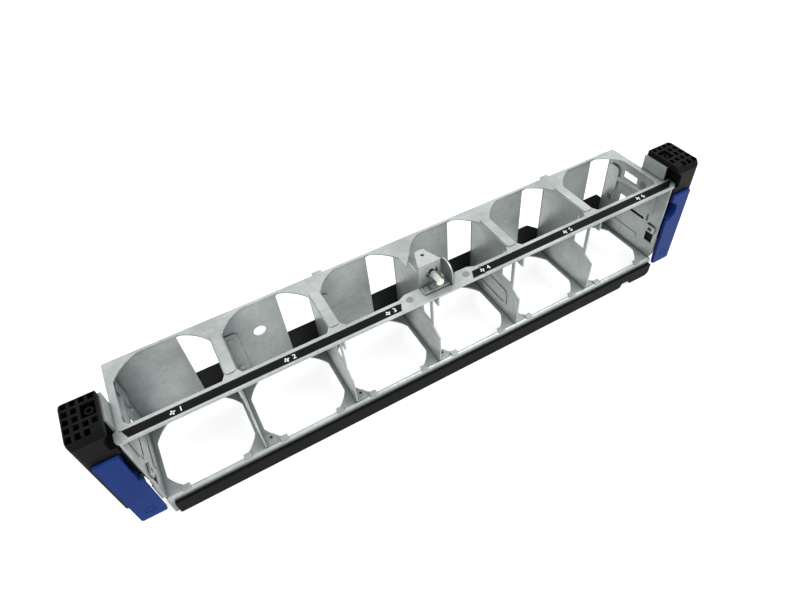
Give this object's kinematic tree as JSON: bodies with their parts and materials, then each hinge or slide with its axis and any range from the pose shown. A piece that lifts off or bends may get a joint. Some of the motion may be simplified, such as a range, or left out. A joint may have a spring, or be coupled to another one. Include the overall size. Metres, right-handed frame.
{
  "type": "server_fan_cage",
  "caption": "Sheet-metal server fan cage with divided open bays, moulded end blocks with hinged blue release levers, and a spring plunger on the front rail",
  "frame": {"origin": "middle of the bounding box at the plane the cage lies on, the free edges of the lower panel's flanges", "axes": "+X along the row of bays, +Z along the airflow from the flanged panel to the label rail, -Y out of the open side that the fans slide in from; in a server -Y points up and +Y rests on the chassis floor"},
  "size_m": [0.4326, 0.066, 0.1026],
  "materials": {
    "zinc_sheet": "satin",
    "steel": "satin",
    "black_plastic": "matte",
    "blue_plastic": "satin",
    "label": "satin",
    "foam": "matte",
    "film": "satin"
  },
  "bodies": {
    "cage": {"upper_panel": "zinc_sheet", "lower_panel": "zinc_sheet", "back_panel": "zinc_sheet", "divider_1": "zinc_sheet", "divider_2": "zinc_sheet", "divider_3": "zinc_sheet", "divider_4": "zinc_sheet", "divider_5": "zinc_sheet", "end_plate_left": "zinc_sheet", "end_plate_right": "zinc_sheet", "end_bracket_left": "zinc_sheet", "end_bracket_right": "zinc_sheet", "centre_bracket": "zinc_sheet", "lever_pin_left": "steel", "lever_pin_right": "steel", "plunger_spring": "steel", "strap_rivets": "steel", "divider_rivets": "steel", "end_plate_rivets": "steel", "block_screws": "steel", "end_block_left": "black_plastic", "end_block_right": "black_plastic", "label_left": "label", "label_right": "label", "front_seal": "foam", "rear_film": "film"},
    "lever_left": {"release_lever_left": "blue_plastic"},
    "lever_right": {"release_lever_right": "blue_plastic"},
    "plunger": {"plunger_pin": "steel", "plunger_ring": "steel"}
  },
  "joints": [
    {"name": "lever_left_hinge", "type": "hinge", "parent": "cage", "child": "lever_left", "pos_m": [-0.205, -0.0236, 0.042], "axis": [1, 0, 0], "range_deg": [0, 60]},
    {"name": "lever_right_hinge", "type": "hinge", "parent": "cage", "child": "lever_right", "pos_m": [0.205, -0.0236, 0.042], "axis": [1, 0, 0], "range_deg": [0, 60]},
    {"name": "plunger_slide", "type": "slide", "parent": "cage", "child": "plunger", "axis": [0, 1, 0], "range_m": [0, 0.004], "stiffness_N_per_m": 300, "springref_m": -0.004, "deforming": ["plunger_spring"]}
  ]
}
